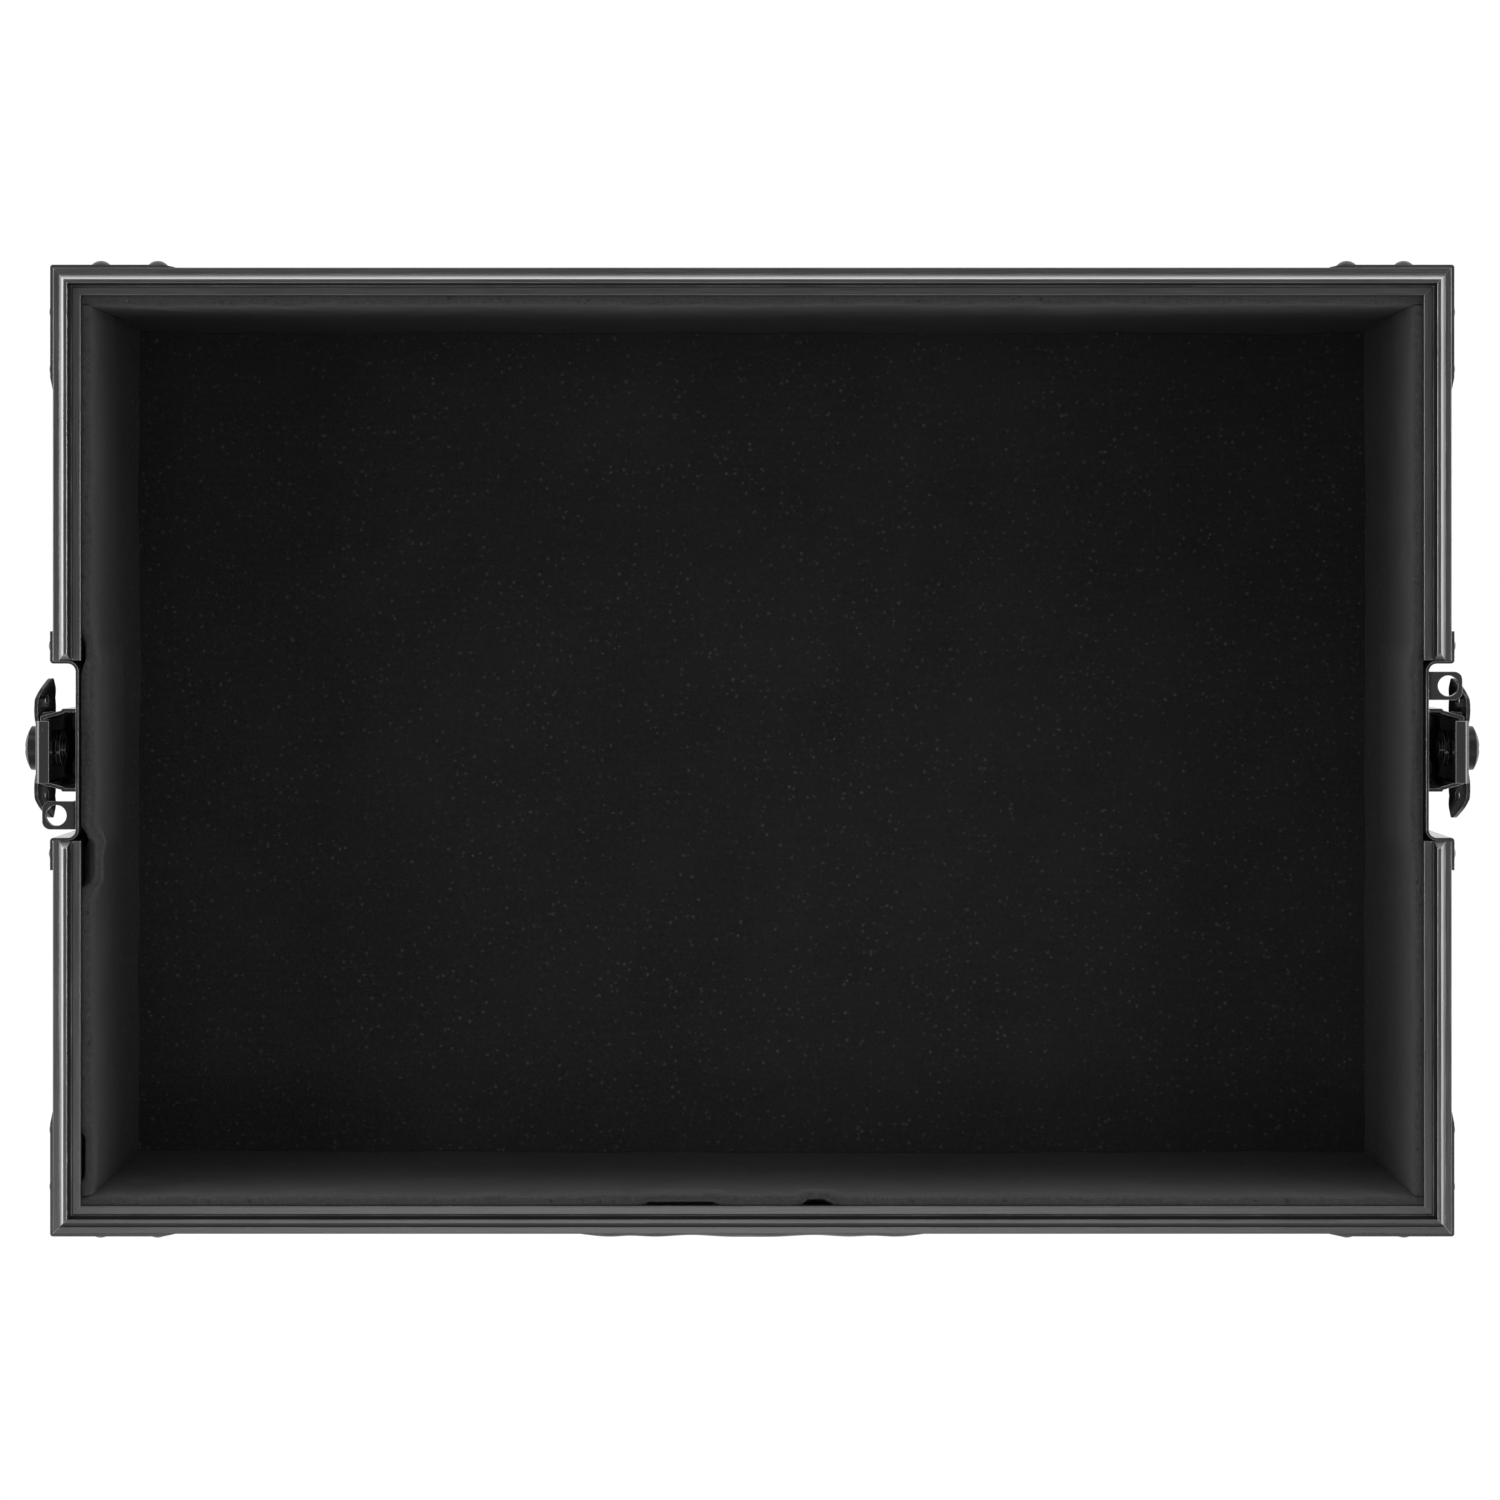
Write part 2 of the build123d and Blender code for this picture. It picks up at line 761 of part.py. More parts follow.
def housing():
    outer = housing_outline(-dish_recess)
    inner = offset(housing_outline(-dish_recess - housing_t), amount=-housing_t, kind=Kind.INTERSECTION)
    shell = Pos(0, 0, housing_low_z) * extrude(outer, amount=housing_length, dir=(0, 0, 1))
    shell -= Pos(0, 0, housing_low_z + housing_t) * extrude(inner, amount=housing_length, dir=(0, 0, 1))
    wide = housing_half_base + housing_foot_w
    for s in (-1, 1):
        near_x, far_x = sorted((s * (housing_half_base - housing_t), s * wide))
        foot_out = housing_t - dish_recess
        shell += slab(near_x, far_x, -dish_recess, foot_out, housing_low_z, housing_foot_top_z)
    shell -= rod_y(0, spindle_z, spindle_r + spindle_fit, plate_in - cut_over, housing_top_out + cut_over)
    return drilled(shell, latch_drills())


def claw_half_width():
    slope = (housing_half_waist - housing_half_top) / (housing_top_out - housing_waist_out)
    inner = housing_half_top + slope * (housing_top_out - claw_out) - housing_t * math.hypot(1, slope)
    return inner - claw_side_gap


def claw():
    top = rim_z + claw_rise
    low = spindle_z - spindle_r - slot_gap - claw_tail
    tip = claw_out - claw_lip
    points = [
        (claw_out, low),
        (claw_out, top),
        (tip, top - claw_lip_fall),
        (tip, top - claw_lip_fall - claw_t),
        (claw_in, top - claw_t),
        (claw_in, low),
    ]
    radii = [0, claw_bend_r, claw_tip_r, claw_tip_r, claw_inner_r, 0]
    wide = claw_half_width()
    body = prism_x(points, radii, -wide, wide)
    wide_slot = crank_throw + crank_pin_r + slot_gap
    tall_slot = crank_pin_r + crank_slack
    through = (claw_in - cut_over, claw_out + cut_over)
    body -= slab(-wide_slot, wide_slot, *through, pin_z - tall_slot, pin_z + tall_slot)
    run = spindle_r + slot_gap
    body -= slab(-run, run, *through, spindle_z, spindle_z + claw_travel)
    body -= rod_y(0, spindle_z, run, *through)
    return body - rod_y(0, spindle_z + claw_travel, run, *through)


def crank_spindle():
    body = rod_y(0, spindle_z, spindle_r, disc_out - 0.5, strap_out)
    body += rod_y(0, spindle_z, crank_disc_r, disc_out - crank_disc_t, disc_out)
    body += rod_y(0, spindle_z, boss_r, disc_out - crank_disc_t - boss_h, disc_out - crank_disc_t)
    return body + rod_y(0, pin_z, crank_pin_r, disc_out - 0.5, plate_in - crank_gap)


def wing_sheet():
    # A leaning sheet that turns in towards the pan beyond its bend.
    reach = wing_tip_at + 2 * wing_tip_r
    fall = (reach - wing_bend_at) * math.tan(math.radians(wing_bend))
    inner = [(0, -wing_t / 2), (wing_bend_at, -wing_t / 2), (reach, -wing_t / 2 - fall)]
    outer = [(x, y + wing_t) for x, y in reversed(inner)]
    section = make_face(Polyline(*inner, *outer, close=True))
    tall = 2 * wing_root_r
    lean = math.tan(math.radians(wing_tilt))
    middle = housing_top_out + wing_clear + wing_root_r * lean + wing_t / 2
    sheet = extrude(Pos(0, 0, -tall) * section, amount=2 * tall, dir=(0, 0, 1))
    return Pos(0, middle, spindle_z) * Rot(-wing_tilt, 0, 0) * sheet


def wing():
    root = Pos(wing_root_at, 0) * Circle(wing_root_r)
    tip = Pos(wing_tip_at, 0) * Circle(wing_tip_r)
    outline = make_hull((root + tip).edges()) - Pos(wing_hole_at, 0) * Circle(wing_hole_r)
    prism = Pos(0, 0, spindle_z) * prism_y(outline, 0, strap_out + wing_root_r)
    return prism & wing_sheet()


def butterfly():
    strap = slab(
        -key_strap_half,
        key_strap_half,
        strap_in,
        strap_out,
        spindle_z - key_strap_h / 2,
        spindle_z + key_strap_h / 2,
    )
    body = strap + rod_y(0, spindle_z, key_hub_r, strap_in, strap_out)
    hub = rod_y(0, spindle_z, key_hub_r, strap_in, strap_out + wing_root_r)
    right = wing() - hub
    body += right
    body += mirror(right, about=Plane.YZ)
    return body - rod_y(0, spindle_z, spindle_r + spindle_fit, strap_in - cut_over, strap_out + cut_over)


def hub_cap():
    outline = make_face([
        Line((0, 0), (cap_r, 0)),
        Line((cap_r, 0), (cap_r, cap_h)),
        dome_arc(cap_r, cap_h, cap_dome_h),
        Line((0, cap_h + cap_dome_h), (0, 0)),
    ])
    dome = revolve(Rot(90, 0, 0) * outline, Axis.Z)
    slot_z = cap_h + cap_dome_h - cap_slot_d / 2 + 0.5
    dome -= Pos(0, 0, slot_z) * Box(cap_slot_w, cap_r * 3, cap_slot_d + 1)
    return Pos(0, strap_out, spindle_z) * Rot(-90, 0, 0) * dome


def padlock_tab():
    top = rim_z - tab_below_rim
    back = -dish_recess
    points = [
        (back, top),
        (tab_out, top),
        (tab_out, top - tab_t),
        (back + tab_t, top - tab_t),
        (back + tab_t, top - tab_leg),
        (back, top - tab_leg),
    ]
    radii = [tab_bend_r, 0, 0, tab_inner_r, 0, 0]
    x0 = -tab_at - tab_w / 2
    x1 = -tab_at + tab_w / 2
    body = prism_x(points, radii, x0, x1)
    ends = [
        e for e in body.edges().filter_by(Axis.Z)
        if abs(e.center().Y - tab_out) < 0.01
    ]
    body = fillet(ends, tab_round)
    body -= Pos(-tab_at, tab_hole_out, top) * Cylinder(tab_hole_r, 4 * tab_t)
    return drilled(body, latch_drills())


# Handle, in the front wall's own frame
def bracket(sign):
    x = sign * bracket_middle()
    back = -wall_t
    front = bracket_t - wall_t
    outline = RectangleRounded(bracket_w, bracket_h, bracket_round)
    plate = prism_y(Pos(x, pivot_z) * outline, back, front)
    knuckle = Pos(x, pivot_out, pivot_z) * Rot(0, 90, 0) * Cylinder(knuckle_r, knuckle_l)
    stem_x = (x - knuckle_l / 2, x + knuckle_l / 2)
    stem = slab(*stem_x, back, pivot_out, pivot_z - knuckle_r, pivot_z + knuckle_r)
    body = plate + stem + knuckle
    body -= Pos(x, pivot_out, pivot_z) * Rot(0, 90, 0) * Cylinder(rod_r + rod_fit, 3 * knuckle_l)
    through = (back - cut_over, front + cut_over)
    holes = [rod_y(px, pz, rivet_r + rivet_fit, *through) for px, pz, _ in bracket_spots()]
    return drilled(body, holes)


def hung(shape):
    # Leans the bail outwards about its pivot until the grip rests beside the panel.
    return Pos(0, pivot_out, pivot_z) * Rot(bail_tilt, 0, 0) * shape


def bail_path():
    return FilletPolyline(
        (-bail_end_half, 0, 0),
        (-bail_half, 0, 0),
        (-bail_half, 0, -bail_drop),
        (bail_half, 0, -bail_drop),
        (bail_half, 0, 0),
        (bail_end_half, 0, 0),
        radius=rod_bend_r,
    )


def handle_bail():
    start = Plane(origin=(-bail_end_half, 0, 0), z_dir=(1, 0, 0))
    return hung(sweep(start * Circle(rod_r), path=bail_path()))


def grip_station(x, shrink):
    plane = Plane(origin=(x, 0, -bail_drop), x_dir=(0, 1, 0), z_dir=(1, 0, 0))
    return plane * Ellipse(grip_half_t - shrink, grip_half_h - shrink)


def handle_grip():
    # Crowned at the middle and twice towards each end, and drawn in where the fingers lie between.
    waist = (grip_crown_half + grip_side_crown) / 2
    places = [
        (0, 0),
        (grip_crown_flat, grip_crown_fall),
        (waist, grip_waist),
        (grip_side_crown, grip_crown_fall),
        (grip_outer_waist_at, grip_outer_waist),
        (grip_outer_crown, grip_crown_fall),
        (grip_taper_at, grip_taper_fall),
        (grip_half - grip_end_in, grip_end_fall),
        (grip_half, grip_tip_fall),
    ]
    stations = [(-x, s) for x, s in reversed(places[1:])] + places
    body = loft([grip_station(x, s) for x, s in stations])
    bore = Pos(0, 0, -bail_drop) * Rot(0, 90, 0) * Cylinder(rod_r, 3 * grip_half)
    return hung(body - bore)


# Build
os.makedirs("parts", exist_ok=True)
walls = wall_drills()
bases = base_drills()

save("bottom_panel", drilled(bottom_panel(), bases + walls))
for side in turn:
    board = long_panel() if side in ("front", "back") else short_panel()
    save(f"{side}_panel", drilled(on_side(side, board), walls))
    save(f"bottom_angle_{side}", drilled(on_side(side, bottom_angle(side)), walls + bases))
    save(f"{side}_foam", wall_foam(side))
save("floor_foam", floor_foam())

for side in ("front", "back"):
    save(f"rim_{side}", drilled(on_side(side, rim_side(side)), walls))
for side, back_sign in (("left", 1), ("right", -1)):
    save(f"rim_{side}_back", drilled(on_side(side, rim_half(back_sign)), walls))
    save(f"rim_{side}_front", drilled(on_side(side, rim_half(-back_sign)), walls))

for y_side, x_side, angle in corners:
    place = f"{y_side}_{x_side}"
    save(f"corner_angle_{place}", drilled(at_corner(y_side, x_side, angle, corner_angle()), walls))
    save(f"rim_brace_{place}", drilled(at_corner(y_side, x_side, angle, rim_brace()), walls))
    ball = at_corner(y_side, x_side, angle, ball_corner())
    save(f"ball_corner_{place}", drilled(ball, walls + bases))

save("brace_rivets", Compound([r for s in turn for r in wall_rivets(s, brace_spots(s))]))
balls = [r for s in turn for r in wall_rivets(s, ball_spots(s))] + base_rivets(bottom_spots())
edges = [r for s in turn for r in wall_rivets(s, edge_spots(s))] + base_rivets(bottom_edge_spots())
save("corner_rivets", Compound(balls))
save("edge_rivets", Compound(edges))
save("rubber_feet", Compound([Pos(x, y, 0) * foot() for x, y in foot_spots()]))
save("foot_screws", Compound([Pos(x, y, 0) * foot_screw() for x, y in foot_spots()]))

for side in ("left", "right"):
    save(f"{side}_dish", on_side(side, dish()))
    save(f"{side}_dish_rivets", Compound(wall_rivets(side, dish_spots())))
    save(f"{side}_housing", on_side(side, housing()))
    save(f"{side}_housing_rivets", on_side(side, Compound(housing_rivets())))
    save(f"{side}_padlock_tab", on_side(side, padlock_tab()))
    save(f"{side}_claw", on_side(side, claw()))
    save(f"{side}_crank_spindle", on_side(side, crank_spindle()))
    save(f"{side}_butterfly", on_side(side, butterfly()))
    save(f"{side}_hub_cap", on_side(side, hub_cap()))

save("handle_bracket_left", on_side("front", bracket(1)))
save("handle_bracket_right", on_side("front", bracket(-1)))
save("handle_rivets", Compound(wall_rivets("front", bracket_spots())))
save("handle_bail", on_side("front", handle_bail()))
save("handle_grip", on_side("front", handle_grip()))
print("shell_y", round(shell_y, 4), "bail_tilt", round(bail_tilt, 4), "rim_z", rim_z)
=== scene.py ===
import math

import bmesh
import bpy
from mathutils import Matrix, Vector, noise


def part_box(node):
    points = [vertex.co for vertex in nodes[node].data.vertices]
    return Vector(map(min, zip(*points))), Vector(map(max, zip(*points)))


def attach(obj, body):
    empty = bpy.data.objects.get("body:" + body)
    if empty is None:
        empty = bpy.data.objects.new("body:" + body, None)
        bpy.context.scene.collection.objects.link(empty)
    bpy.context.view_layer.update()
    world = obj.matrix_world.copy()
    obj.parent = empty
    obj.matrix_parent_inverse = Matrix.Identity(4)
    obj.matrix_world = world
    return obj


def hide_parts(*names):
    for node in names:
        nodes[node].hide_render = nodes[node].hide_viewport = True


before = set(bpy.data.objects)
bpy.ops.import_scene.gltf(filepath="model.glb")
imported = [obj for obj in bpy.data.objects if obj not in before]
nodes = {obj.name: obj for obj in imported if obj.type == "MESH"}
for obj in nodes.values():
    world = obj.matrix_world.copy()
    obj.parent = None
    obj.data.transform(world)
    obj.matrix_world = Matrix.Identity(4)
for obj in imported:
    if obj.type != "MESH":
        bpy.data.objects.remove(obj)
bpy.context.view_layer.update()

# Lengths are in metres. The origin lies between the feet and +Y points to the back wall.
MM = 0.001
shell = "shell"


# Places taken from the frame
def span_of(name, axis):
    low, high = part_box(name)
    return low[axis], high[axis]


rim_front, _ = span_of("rim_front", 1)
_, rim_back = span_of("rim_back", 1)
_, floor_high = span_of("floor_foam", 2)
_, foam_top = span_of("back_foam", 2)
middle_y = (rim_front + rim_back) / 2
tongue_h = 4 * MM
rim_z = span_of("rim_back", 2)[1] - tongue_h


# Node helpers
class Nodes:
    """A material's node tree, with short calls for the nodes used here."""

    def __init__(self, name):
        self.material = bpy.data.materials.new(name)
        self.material.use_nodes = True
        self.tree = self.material.node_tree
        self.tree.nodes.clear()
        self.output = self.add("ShaderNodeOutputMaterial")
        self.coordinates = self.add("ShaderNodeTexCoord").outputs["Object"]

    def add(self, kind, **settings):
        node = self.tree.nodes.new(kind)
        for key, value in settings.items():
            setattr(node, key, value)
        return node

    def put(self, socket, value):
        if isinstance(value, bpy.types.NodeSocket):
            self.tree.links.new(value, socket)
        else:
            socket.default_value = value

    def math(self, operation, a, b):
        node = self.add("ShaderNodeMath", operation=operation)
        self.put(node.inputs[0], a)
        self.put(node.inputs[1], b)
        return node.outputs[0]

    def times(self, a, b):
        return self.math("MULTIPLY", a, b)

    def stretched(self, scale):
        node = self.add("ShaderNodeMapping", vector_type="POINT")
        self.put(node.inputs["Vector"], self.coordinates)
        node.inputs["Scale"].default_value = scale
        return node.outputs[0]

    def noise(self, size, detail, rough, stretch=None):
        # The size is that of one blot in metres, the detail is in octaves, and rough is from 0 to 1.
        node = self.add("ShaderNodeTexNoise")
        place = self.stretched(stretch) if stretch else self.coordinates
        self.put(node.inputs["Vector"], place)
        node.inputs["Scale"].default_value = 1.0 / size
        node.inputs["Detail"].default_value = detail
        node.inputs["Roughness"].default_value = rough
        return node.outputs["Fac"]

    def cells(self, size, feature="F1"):
        node = self.add("ShaderNodeTexVoronoi", feature=feature)
        self.put(node.inputs["Vector"], self.coordinates)
        node.inputs["Scale"].default_value = 1.0 / size
        return node.outputs["Distance"]

    def between(self, value, low, high, out_low=0.0, out_high=1.0):
        node = self.add("ShaderNodeMapRange", clamp=True)
        self.put(node.inputs["Value"], value)
        node.inputs["From Min"].default_value = low
        node.inputs["From Max"].default_value = high
        node.inputs["To Min"].default_value = out_low
        node.inputs["To Max"].default_value = out_high
        return node.outputs[0]

    def band(self, value, low, high, soft):
        # One between low and high and nought outside, with soft ends inside the band.
        rising = self.between(value, low, low + soft)
        falling = self.between(value, high, high - soft)
        return self.times(rising, falling)

    def roughness(self, texture, low, high):
        # A noise mostly keeps between these two values, which become a range of roughness.
        return self.between(texture, 0.3, 0.7, low, high)

    def upward(self, vector):
        node = self.add("ShaderNodeSeparateXYZ")
        self.put(node.inputs[0], vector)
        return node.outputs["Z"]

    def blend(self, factor, a, b):
        node = self.add("ShaderNodeMix", data_type="RGBA")
        self.put(node.inputs["Factor"], factor)
        self.put(node.inputs["A"], a)
        self.put(node.inputs["B"], b)
        return node.outputs["Result"]

    def soft_edges(self, radius):
        node = self.add("ShaderNodeBevel", samples=4)
        node.inputs["Radius"].default_value = radius
        return node.outputs[0]

    def edge_mask_for_wear_and_highlight(self, radius, low, high):
        # Marks where a rounded normal turns away from the flat one: along outer and inner edges. It
        # places edge wear, and on the latch a painted highlight.
        flat = self.add("ShaderNodeNewGeometry").outputs["Normal"]
        dot = self.add("ShaderNodeVectorMath", operation="DOT_PRODUCT")
        self.put(dot.inputs[0], flat)
        self.put(dot.inputs[1], self.soft_edges(radius))
        return self.between(dot.outputs["Value"], high, low)

    def bump(self, height, depth, strength, normal=None):
        node = self.add("ShaderNodeBump")
        node.inputs["Distance"].default_value = depth
        node.inputs["Strength"].default_value = strength
        self.put(node.inputs["Height"], height)
        if normal:
            self.put(node.inputs["Normal"], normal)
        return node.outputs[0]

    def surface(self, **values):
        shader = self.add("ShaderNodeBsdfPrincipled")
        for key, value in values.items():
            self.put(shader.inputs[key.replace("_", " ")], value)
        self.tree.links.new(shader.outputs[0], self.output.inputs["Surface"])
        return self.material


blue_cast = 1.02


def grey(value):
    return (value, value, value * blue_cast, 1.0)


def drawn_out(along, share):
    # A texture's scale by axis. A small share draws it out along one of them.
    return tuple(share if axis == along else 1.0 for axis in "xyz")


# Materials. A pair named _on or _where holds the two values between which a texture fades in.
def painted_flank_light(made, colour, lines, tone):
    # Painted light on the tongue: its outer flank and filed ends are painted in the tone, a painted
    # highlight set per side, and its inner flank is painted dark, as painted shade. How far a face's
    # normal points up tells the flanks from the flat faces beside them.
    outer_slope = (0.38, 0.70)
    inner_slope = (0.10, 0.34)
    slope_soft = 0.04
    foot_z = rim_z + 0.2 * MM
    full_z = rim_z + 3.0 * MM
    foot_share = 0.12
    line_where = (0.25, 0.6)
    line_low = 0.8
    painted_flank_shade_tone = 0.02
    steep = made.upward(made.add("ShaderNodeNewGeometry").outputs["Normal"])
    tilted = made.band(steep, *outer_slope, slope_soft)
    above = made.between(made.upward(made.coordinates), foot_z, full_z, foot_share, 1.0)
    # The outer flank's mask, painted in the tone as a painted highlight.
    painted_flank_highlight = made.times(made.times(tilted, above), made.between(lines, *line_where, line_low, 1.0))
    colour = made.blend(painted_flank_highlight, colour, grey(tone))
    # The inner flank's mask, painted dark as painted shade.
    painted_inner_flank_shade = made.band(steep, *inner_slope, slope_soft)
    return made.blend(made.times(painted_inner_flank_shade, above), colour, grey(painted_flank_shade_tone))


def anodised(name, along, flank_highlight_tone=0.0):
    # Black anodised extrusion, with draw lines along its length, scratches and rubbed edges.
    # A flank highlight tone is for a rim, which has the tongue on it: its flanks get a painted
    # highlight and painted shade.
    line_size = 0.35 * MM
    line_share = 0.012
    line_where = (0.35, 0.65)
    line_depth = 0.03 * MM
    blot_size = 28 * MM
    scratch_size = 0.22 * MM
    scratch_share = 0.05
    scratch_on = (0.70, 0.78)
    scratch_where = (0.5, 0.75)
    wear_radius = 0.5 * MM
    wear_on = (0.90, 0.99)
    wear_where = (0.35, 0.7)
    wear_amount = 0.75
    low_tone = 0.068
    high_tone = 0.100
    bare_tone = 0.42
    edge_radius = 0.25 * MM
    made = Nodes(name)
    lines = made.noise(line_size, 4, 0.6, drawn_out(along, line_share))
    blots = made.noise(blot_size, 5, 0.6)
    scratches = made.noise(scratch_size, 2, 0.5, drawn_out(along, scratch_share))
    rubbed = made.times(made.between(scratches, *scratch_on), made.between(blots, *scratch_where))
    wear = made.times(made.edge_mask_for_wear_and_highlight(wear_radius, *wear_on), made.between(blots, *wear_where))
    wear = made.math("MAXIMUM", wear, rubbed)
    black = made.blend(made.between(lines, *line_where), grey(low_tone), grey(high_tone))
    colour = made.blend(made.times(wear, wear_amount), black, grey(bare_tone))
    if flank_highlight_tone:
        colour = painted_flank_light(made, colour, lines, flank_highlight_tone)
    rough = made.roughness(lines, 0.27, 0.40)
    normal = made.bump(lines, line_depth, 0.5, made.soft_edges(edge_radius))
    return made.surface(Base_Color=colour, Metallic=0.85, Roughness=rough, Normal=normal)


def coated_steel(name, tone, rough, peel_depth, edge_wear_and_highlight_tone=0.30, gloss=0.6, edge_wear_and_highlight_threshold=0.48):
    # Black coat over pressed steel, with faint orange peel, hairline scratches and rubbed edges. The
    # edge tone is a grey of worn steel, and on the latch a near white painted highlight along its
    # edges.
    peel_size = 1.6 * MM
    blot_size = 14 * MM
    hair_size = 0.30 * MM
    hair_share = 0.06
    hair_on = (0.69, 0.76)
    hair_where = (0.45, 0.7)
    hair_amount = 0.35
    wear_radius = 0.35 * MM
    wear_on = (0.86, 0.98)
    wear_soft = 0.24
    wear_amount = 0.6
    low_tone = tone * 0.8
    high_tone = tone * 1.25
    edge_radius = 0.22 * MM
    made = Nodes(name)
    peel = made.noise(peel_size, 2, 0.5)
    blots = made.noise(blot_size, 5, 0.65)
    fine = made.noise(hair_size, 2, 0.5, drawn_out("y", hair_share))
    hairs = made.times(made.between(fine, *hair_on), made.between(blots, *hair_where))
    rubbed = made.edge_mask_for_wear_and_highlight(wear_radius, *wear_on)
    wear = made.times(rubbed, made.between(blots, edge_wear_and_highlight_threshold, edge_wear_and_highlight_threshold + wear_soft))
    wear = made.math("MAXIMUM", wear, made.times(hairs, hair_amount))
    black = made.blend(blots, grey(low_tone), grey(high_tone))
    # The edges take the edge tone: worn steel, and on the latch a painted highlight.
    colour = made.blend(made.times(wear, wear_amount), black, grey(edge_wear_and_highlight_tone))
    dull = made.roughness(blots, *rough)
    normal = made.bump(peel, peel_depth, 0.6, made.soft_edges(edge_radius))
    return made.surface(
        Base_Color=colour, Roughness=dull, Specular_IOR_Level=gloss, Normal=normal,
    )


def laminate():
    # Phenolic film with a pebbled face, dusty in its hollows and scuffed here and there.
    pebble_size = 1.3 * MM
    pebble_where = (0.2, 0.7)
    pebble_depth = 0.12 * MM
    hollow_tone = 0.034
    face_tone = 0.020
    blot_size = 40 * MM
    scuff_size = 0.6 * MM
    scuff_share = 0.1
    scuff_on = (0.66, 0.76)
    scuff_where = (0.5, 0.7)
    scuff_amount = 0.25
    scuff_tone = 0.12
    edge_radius = 0.3 * MM
    made = Nodes("laminate_black")
    pebbles = made.cells(pebble_size, "SMOOTH_F1")
    blots = made.noise(blot_size, 6, 0.62)
    scuffs = made.noise(scuff_size, 3, 0.6, drawn_out("x", scuff_share))
    scuff = made.times(made.between(scuffs, *scuff_on), made.between(blots, *scuff_where))
    black = made.blend(made.between(pebbles, *pebble_where), grey(hollow_tone), grey(face_tone))
    colour = made.blend(made.times(scuff, scuff_amount), black, grey(scuff_tone))
    rough = made.roughness(blots, 0.38, 0.55)
    normal = made.bump(pebbles, pebble_depth, 0.7, made.soft_edges(edge_radius))
    return made.surface(Base_Color=colour, Roughness=rough, Normal=normal)


def rubber():
    # Moulded rubber with a fine grain, dusty in blots.
    grain_size = 0.5 * MM
    grain_depth = 0.06 * MM
    blot_size = 9 * MM
    dust_where = (0.4, 0.75)
    clean_tone = 0.018
    dust_tone = 0.036
    edge_radius = 0.5 * MM
    made = Nodes("rubber_black")
    grain = made.noise(grain_size, 3, 0.6)
    blots = made.noise(blot_size, 4, 0.6)
    dusty = made.blend(made.between(blots, *dust_where), grey(clean_tone), grey(dust_tone))
    rough = made.roughness(grain, 0.72, 0.9)
    normal = made.bump(grain, grain_depth, 0.6, made.soft_edges(edge_radius))
    return made.surface(Base_Color=dusty, Roughness=rough, Normal=normal)


def grip_plastic():
    # Soft moulded grip with a leathery grain, polished in blots by hands.
    grain_size = 0.9 * MM
    grain_depth = 0.07 * MM
    seam_tone_to = 0.12
    seam_depth_to = 0.16
    seam_tone = 0.006
    face_tone = 0.014
    blot_size = 22 * MM
    polish_where = (0.35, 0.65)
    polish_rough = (0.34, 0.52)
    edge_radius = 0.4 * MM
    made = Nodes("grip_black")
    grain = made.cells(grain_size, "DISTANCE_TO_EDGE")
    blots = made.noise(blot_size, 3, 0.5)
    black = made.blend(made.between(grain, 0.0, seam_tone_to), grey(seam_tone), grey(face_tone))
    rough = made.between(blots, *polish_where, *polish_rough)
    seams = made.between(grain, 0.0, seam_depth_to)
    normal = made.bump(seams, grain_depth, 0.7, made.soft_edges(edge_radius))
    return made.surface(
        Base_Color=black, Roughness=rough, Specular_IOR_Level=0.35, Normal=normal,
    )


def zinc():
    # Dull zinc plate with a fine spangle.
    spangle_size = 1.1 * MM
    spangle_depth = 0.02 * MM
    low_tone = 0.30
    high_tone = 0.48
    edge_radius = 0.15 * MM
    made = Nodes("zinc_dull")
    spangle = made.noise(spangle_size, 4, 0.6)
    colour = made.blend(spangle, grey(low_tone), grey(high_tone))
    rough = made.roughness(spangle, 0.32, 0.5)
    normal = made.bump(spangle, spangle_depth, 0.5, made.soft_edges(edge_radius))
    return made.surface(Base_Color=colour, Metallic=1.0, Roughness=rough, Normal=normal)


